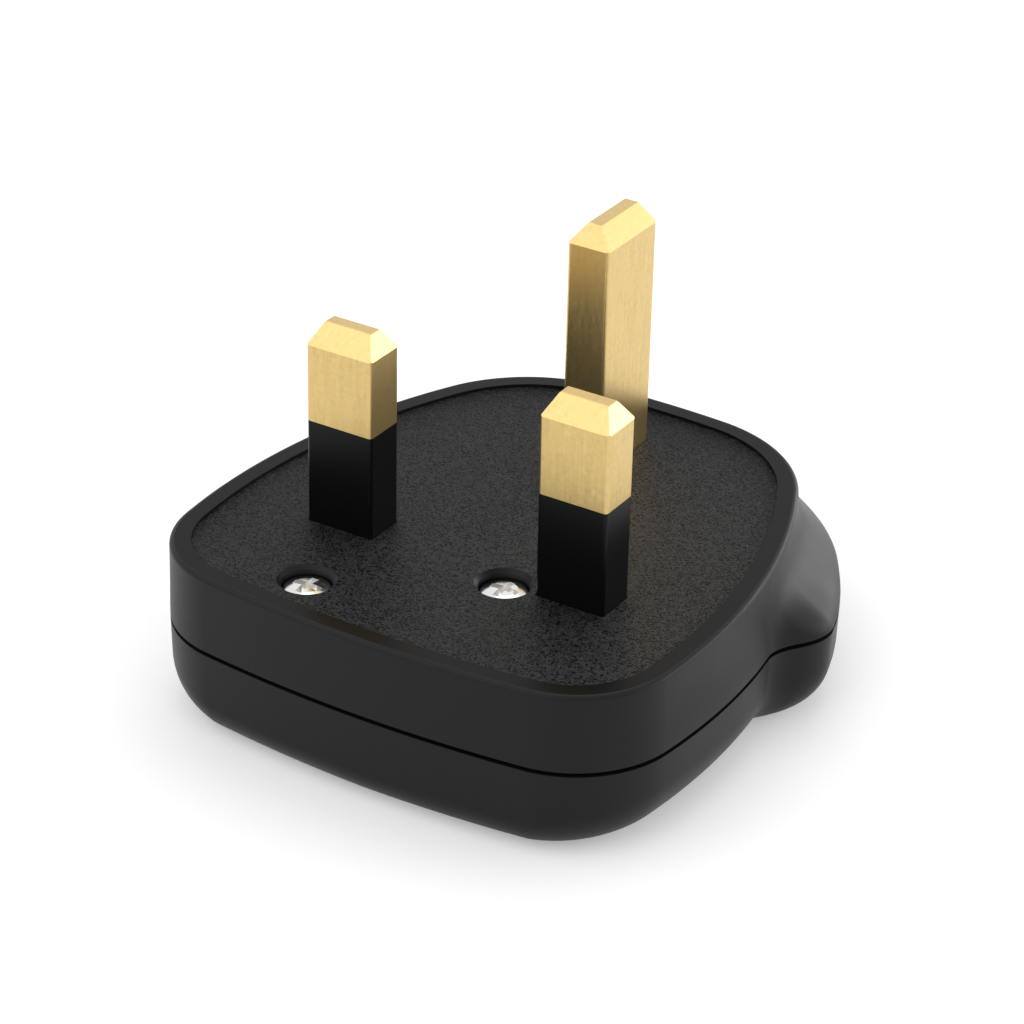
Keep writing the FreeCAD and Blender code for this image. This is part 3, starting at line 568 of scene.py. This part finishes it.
def add_world(stage):
    """White to the camera and in gloss, and a plain soft sky of the chosen strength as light."""
    world = bpy.data.worlds.new("studio")
    world.use_nodes = True
    bpy.context.scene.world = world
    tree = world.node_tree
    tree.nodes.clear()
    sky = tree.nodes.new("ShaderNodeTexCoord").outputs["Generated"]
    height = add(tree, "ShaderNodeSeparateXYZ", Vector=sky).outputs[2]
    light = span(tree, height, (0.0, 0.9), (stage.sky_low, stage.sky_high))
    seen = seen_or_mirrored(tree)
    strength = add(tree, "ShaderNodeMix", {"data_type": "FLOAT"}, i0=seen, i2=light, i3=1.0)
    white = add(tree, "ShaderNodeBackground", Color=(1, 1, 1), Strength=strength.outputs[0])
    add(tree, "ShaderNodeOutputWorld", Surface=white.outputs[0])


def add_floor(stage):
    """A pale floor that keeps the plug's shadow, with a little glow where it is seen or mirrored."""
    mesh = bpy.data.meshes.new("floor")
    corners = [(-1, -1, 0), (1, -1, 0), (1, 1, 0), (-1, 1, 0)]
    mesh.from_pydata((np.array(corners) * FLOOR_HALF).tolist(), [], [(0, 1, 2, 3)])
    floor = add_object("floor", mesh)
    floor.location = (0, 0, FLOOR_Z)
    material, tree = fresh_material("floor_paper")
    glow = maths(tree, "MULTIPLY", seen_or_mirrored(tree), stage.floor_glow)
    paper = add(tree, "ShaderNodeBsdfDiffuse", Color=stage.floor_colour)
    light = add(tree, "ShaderNodeEmission", Color=(1, 1, 1), Strength=glow)
    both = add(tree, "ShaderNodeAddShader", i0=paper.outputs[0], i1=light.outputs[0])
    add(tree, "ShaderNodeOutputMaterial", Surface=both.outputs[0])
    mesh.materials.append(material)


# Settings


def colour_property(name, description, default):
    return FloatVectorProperty(name=name, description=description, default=default, min=0.0, max=1.0,
                               size=3, subtype="COLOR")


def roughness_property(name, description, default):
    return FloatProperty(name=name, description=description, default=default, min=0.0, max=1.0,
                         subtype="FACTOR")


def length_property(name, description, default, most):
    return FloatProperty(name=name, description=description, default=default, min=0.0, max=most,
                         precision=6, subtype="DISTANCE", unit="LENGTH")


def light_property(name, description, default, most):
    return FloatProperty(name=name, description=description, default=default, min=0.0, max=most)


class PlugMouldingSettings(PropertyGroup):
    grip_crest: length_property(
        "Grip crest", "How far the grip's walls stand out", SHOWN_WALL.crest, 5 * MM)
    front_foot: length_property(
        "Front foot", "Radius of the foot at the front", SHOWN_WALL.front_foot, 4 * MM)
    side_foot: length_property(
        "Side foot", "Radius of the foot at the sides", SHOWN_WALL.side_foot, 7 * MM)
    lip_easing: length_property(
        "Lip easing", "How far the lips of the parting are eased back", 0.07 * MM, 0.2 * MM)
    wall_colour: colour_property(
        "Walls", "Colour of the housing's walls", (0.006, 0.006, 0.0062))
    rim_colour: colour_property(
        "Rim", "Colour of the smooth rim round the pin face", (0.005, 0.0048, 0.0046))
    panel_colour: colour_property(
        "Panel", "Colour of the grained panel", (0.002, 0.002, 0.0021))
    # A light colour on the grain's ridges: painted glints on the real grain
    ridge_glint_colour: colour_property(
        "Grain glints", "Painted glints on the ridges of the panel's grain", (0.070, 0.070, 0.070))
    wall_roughness: roughness_property("Wall roughness", "Roughness of the walls", 0.42)
    rim_roughness: roughness_property("Rim roughness", "Roughness of the rim", 0.3)
    panel_roughness: roughness_property("Panel roughness", "Roughness of the panel", 0.3)
    grain_depth: length_property(
        "Grain depth", "Depth of the panel's grain", 0.08 * MM, 1 * MM)
    skin_depth: length_property(
        "Skin depth", "Depth of the walls' fine skin", 0.003 * MM, 0.1 * MM)


class PlugPinSettings(PropertyGroup):
    brass_colour: colour_property("Brass", "Colour of the pins", (0.74, 0.54, 0.225))
    brass_roughness: roughness_property("Brass roughness", "Roughness of the pins", 0.31)
    streak_depth: length_property(
        "Streak depth", "Depth of the brushed streaks on the pins", 0.012 * MM, 0.1 * MM)
    sleeve_colour: colour_property("Sleeves", "Colour of the pins' sleeves", (0.003, 0.003, 0.0032))
    sleeve_roughness: roughness_property("Sleeve roughness", "Roughness of the sleeves", 0.28)


class PlugFittingSettings(PropertyGroup):
    steel_colour: colour_property("Screws", "Colour of the plated screws", (0.80, 0.79, 0.77))
    brass_colour: colour_property("Terminals", "Colour of terminals and clips", (0.74, 0.53, 0.24))
    cap_colour: colour_property("Fuse caps", "Colour of the fuse's caps", (0.72, 0.71, 0.69))
    ceramic_colour: colour_property("Fuse body", "Colour of the fuse's tube", (0.72, 0.68, 0.58))
    saddle_colour: colour_property("Cord grip", "Colour of the cord grip", (0.05, 0.045, 0.04))


class PlugStageSettings(PropertyGroup):
    sky_low: light_property("Sky low", "Light from the horizon", 0.62, 4.0)
    sky_high: light_property("Sky high", "Light from above", 0.72, 4.0)
    floor_colour: colour_property("Floor", "Colour of the floor", (0.86, 0.86, 0.86))
    floor_glow: light_property(
        "Floor glow", "Light that the floor adds where it is seen or mirrored", 0.3, 1.0)


# Operators


class PLUG_OT_housing(Operator):
    """Makes and finishes the base and the cover with their smooth walls"""
    bl_idname = "plug.housing"
    bl_label = "Housing"

    def execute(self, context):
        look = context.scene.plug_moulding
        walls = wall_material(
            "moulded_walls", look.wall_colour, look.wall_roughness, shine=0.19,
            skin_depth=look.skin_depth)
        rim = wall_material(
            "moulded_rim", look.rim_colour, look.rim_roughness, shine=0.08, skin_depth=0.0)
        panel = panel_material(look, shine=0.07)
        shown = SHOWN_WALL._replace(
            crest=look.grip_crest, front_foot=look.front_foot, side_foot=look.side_foot)
        for node in ("base", "cover"):
            finish_node(node, walls)
            smooth_shell(node, shown, look.lip_easing, (walls, rim, panel))
        return {"FINISHED"}


class PLUG_OT_pins(Operator):
    """Finishes the three pins and their sleeves"""
    bl_idname = "plug.pins"
    bl_label = "Pins and sleeves"

    def execute(self, context):
        look = context.scene.plug_pins
        brass = brass_material(
            "pin_brass", look.brass_colour, look.brass_roughness, streak_axis=2,
            streak_depth=look.streak_depth)
        sleeve = plain_material(
            "sleeve_plastic", look.sleeve_colour, look.sleeve_roughness, grain_scale=2600.0,
            grain_depth=0.002 * MM, shine=0.16)
        for node in ("live_pin", "neutral_pin", "earth_pin"):
            finish_node(node, brass)
        for node in ("live_pin_sleeve", "neutral_pin_sleeve"):
            finish_node(node, sleeve)
        return {"FINISHED"}


class PLUG_OT_screws(Operator):
    """Finishes the plated screws"""
    bl_idname = "plug.screws"
    bl_label = "Screws"

    def execute(self, context):
        colour = context.scene.plug_fittings.steel_colour
        steel = metal_material("plated_steel", colour, roughness=0.16)
        for node in NODES:
            if "screw" in node:
                finish_node(node, steel)
        return {"FINISHED"}


class PLUG_OT_fittings(Operator):
    """Finishes the fuse, its clips, the live terminal, the inserts and the cord grip"""
    bl_idname = "plug.fittings"
    bl_label = "Fuse and fittings"

    def execute(self, context):
        look = context.scene.plug_fittings
        brass = brass_material(
            "terminal_brass", look.brass_colour, roughness=0.3, streak_axis=1,
            streak_depth=0.003 * MM)
        caps = metal_material("fuse_caps", look.cap_colour, roughness=0.2)
        tube = plain_material(
            "fuse_tube", look.ceramic_colour, roughness=0.3, grain_scale=1800.0,
            grain_depth=0.002 * MM)
        saddle = plain_material(
            "cord_grip", look.saddle_colour, roughness=0.5, grain_scale=1500.0,
            grain_depth=0.005 * MM)
        finishes = (
            (brass, ("fuse_clip_pin", "fuse_clip_terminal", "clip_rivet", "live_terminal",
                     "cover_insert_left", "cover_insert_right")),
            (caps, ("fuse_cap_front", "fuse_cap_back")),
            (tube, ("fuse_body",)),
            (saddle, ("cord_grip",)),
        )
        for material, nodes in finishes:
            for node in nodes:
                finish_node(node, material)
        return {"FINISHED"}


class PLUG_OT_stage(Operator):
    """Sets the floor, the lights, the sky and the camera"""
    bl_idname = "plug.stage"
    bl_label = "Stage"

    def execute(self, context):
        context.scene.view_settings.view_transform = "Standard"
        add_world(context.scene.plug_stage)
        add_floor(context.scene.plug_stage)
        for name, numbers in SOFTBOXES.items():
            add_softbox(name, *numbers)
        add_camera()
        return {"FINISHED"}


class PLUG_PT_sidebar(Panel):
    """The plug's settings and steps"""
    bl_idname = "PLUG_PT_sidebar"
    bl_label = "Three pin plug"
    bl_space_type = "VIEW_3D"
    bl_region_type = "UI"
    bl_category = "Plug"

    def draw(self, context):
        for group, operators in PANEL_ROWS.items():
            settings = getattr(context.scene, group)
            box = self.layout.box()
            for key in settings.__annotations__:
                box.prop(settings, key)
            for operator in operators:
                box.operator(operator.bl_idname)


SETTINGS = {
    "plug_moulding": PlugMouldingSettings,
    "plug_pins": PlugPinSettings,
    "plug_fittings": PlugFittingSettings,
    "plug_stage": PlugStageSettings,
}
PANEL_ROWS = {
    "plug_moulding": (PLUG_OT_housing,),
    "plug_pins": (PLUG_OT_pins,),
    "plug_fittings": (PLUG_OT_screws, PLUG_OT_fittings),
    "plug_stage": (PLUG_OT_stage,),
}
OPERATORS = tuple(operator for row in PANEL_ROWS.values() for operator in row)


def register():
    for item in (*SETTINGS.values(), *OPERATORS, PLUG_PT_sidebar):
        bpy.utils.register_class(item)
    for name, group in SETTINGS.items():
        setattr(bpy.types.Scene, name, PointerProperty(type=group))


def unregister():
    for name in SETTINGS:
        delattr(bpy.types.Scene, name)
    for item in (PLUG_PT_sidebar, *OPERATORS, *SETTINGS.values()):
        bpy.utils.unregister_class(item)


def main():
    """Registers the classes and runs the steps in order."""
    register()
    for operator in OPERATORS:
        group, step = operator.bl_idname.split(".")
        getattr(getattr(bpy.ops, group), step)()


if __name__ == "__main__":
    main()
